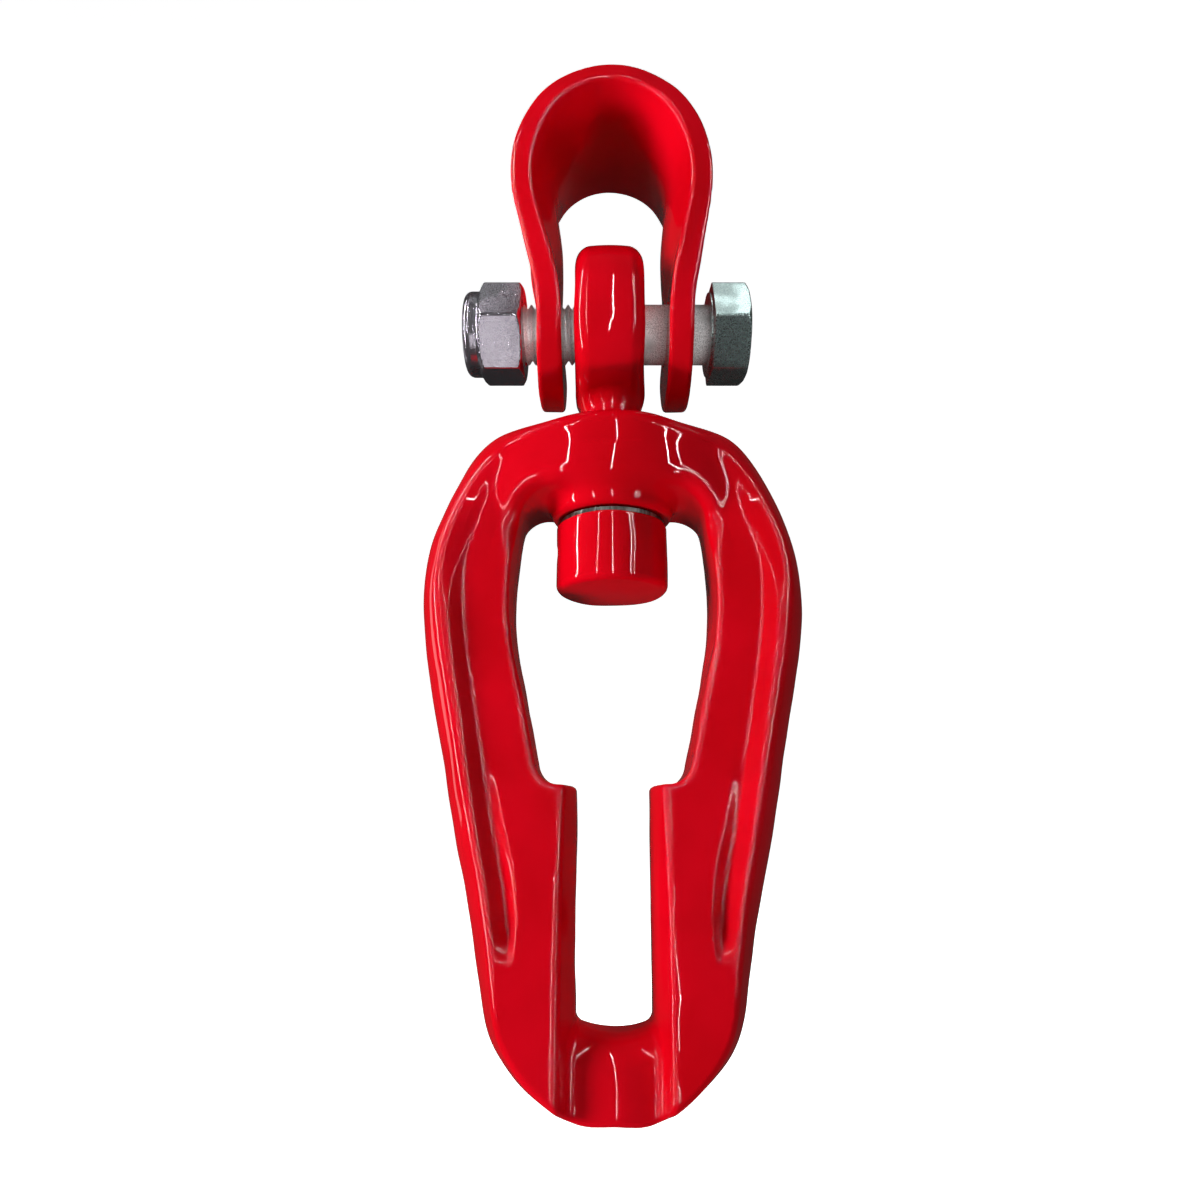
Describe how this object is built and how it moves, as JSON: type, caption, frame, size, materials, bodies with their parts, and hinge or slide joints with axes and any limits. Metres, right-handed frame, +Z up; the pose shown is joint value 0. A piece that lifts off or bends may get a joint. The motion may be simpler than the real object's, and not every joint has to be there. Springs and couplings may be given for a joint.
{
  "type": "swivel keyhole link",
  "caption": "Forged swivel link with a keyhole opening and chain slot, hung from a bent-plate bow on a hex bolt and lock nut.",
  "frame": {"origin": "centre of the bow's rounded crown, where the hanging pin or sling sits", "axes": "+Z up along the hanging line, +X along the bolt towards its head, +Y through the width of the bent plate"},
  "size_m": [0.118, 0.0574, 0.329],
  "materials": {
    "red_paint": "thick glossy red paint over forged steel",
    "zinc_bolt": "grainy grey-green zinc plating",
    "zinc_nut": "bright zinc plating",
    "nylon": "matt nylon",
    "plain_steel": "oiled dark steel"
  },
  "bodies": {
    "bow": {"bow_strap": "red_paint"},
    "bolt": {"clevis_bolt": "zinc_bolt", "lock_nut": "zinc_nut", "nut_insert": "nylon"},
    "swivel": {"swivel_eye": "red_paint", "swivel_button": "red_paint", "button_pin": "plain_steel", "thrust_washer": "plain_steel"},
    "link": {"keyhole_link": "red_paint"}
  },
  "joints": [
    {"name": "bolt_turn", "type": "hinge", "parent": "bow", "child": "bolt", "pos_m": [0, 0, -0.0587], "axis": [1, 0, 0], "continuous": true},
    {"name": "eye_swing", "type": "hinge", "parent": "bow", "child": "swivel", "pos_m": [0, 0, -0.0587], "axis": [1, 0, 0], "range_deg": [-95, 95]},
    {"name": "link_swivel", "type": "hinge", "parent": "swivel", "child": "link", "pos_m": [0, 0, -0.11], "axis": [0, 0, 1], "continuous": true}
  ]
}
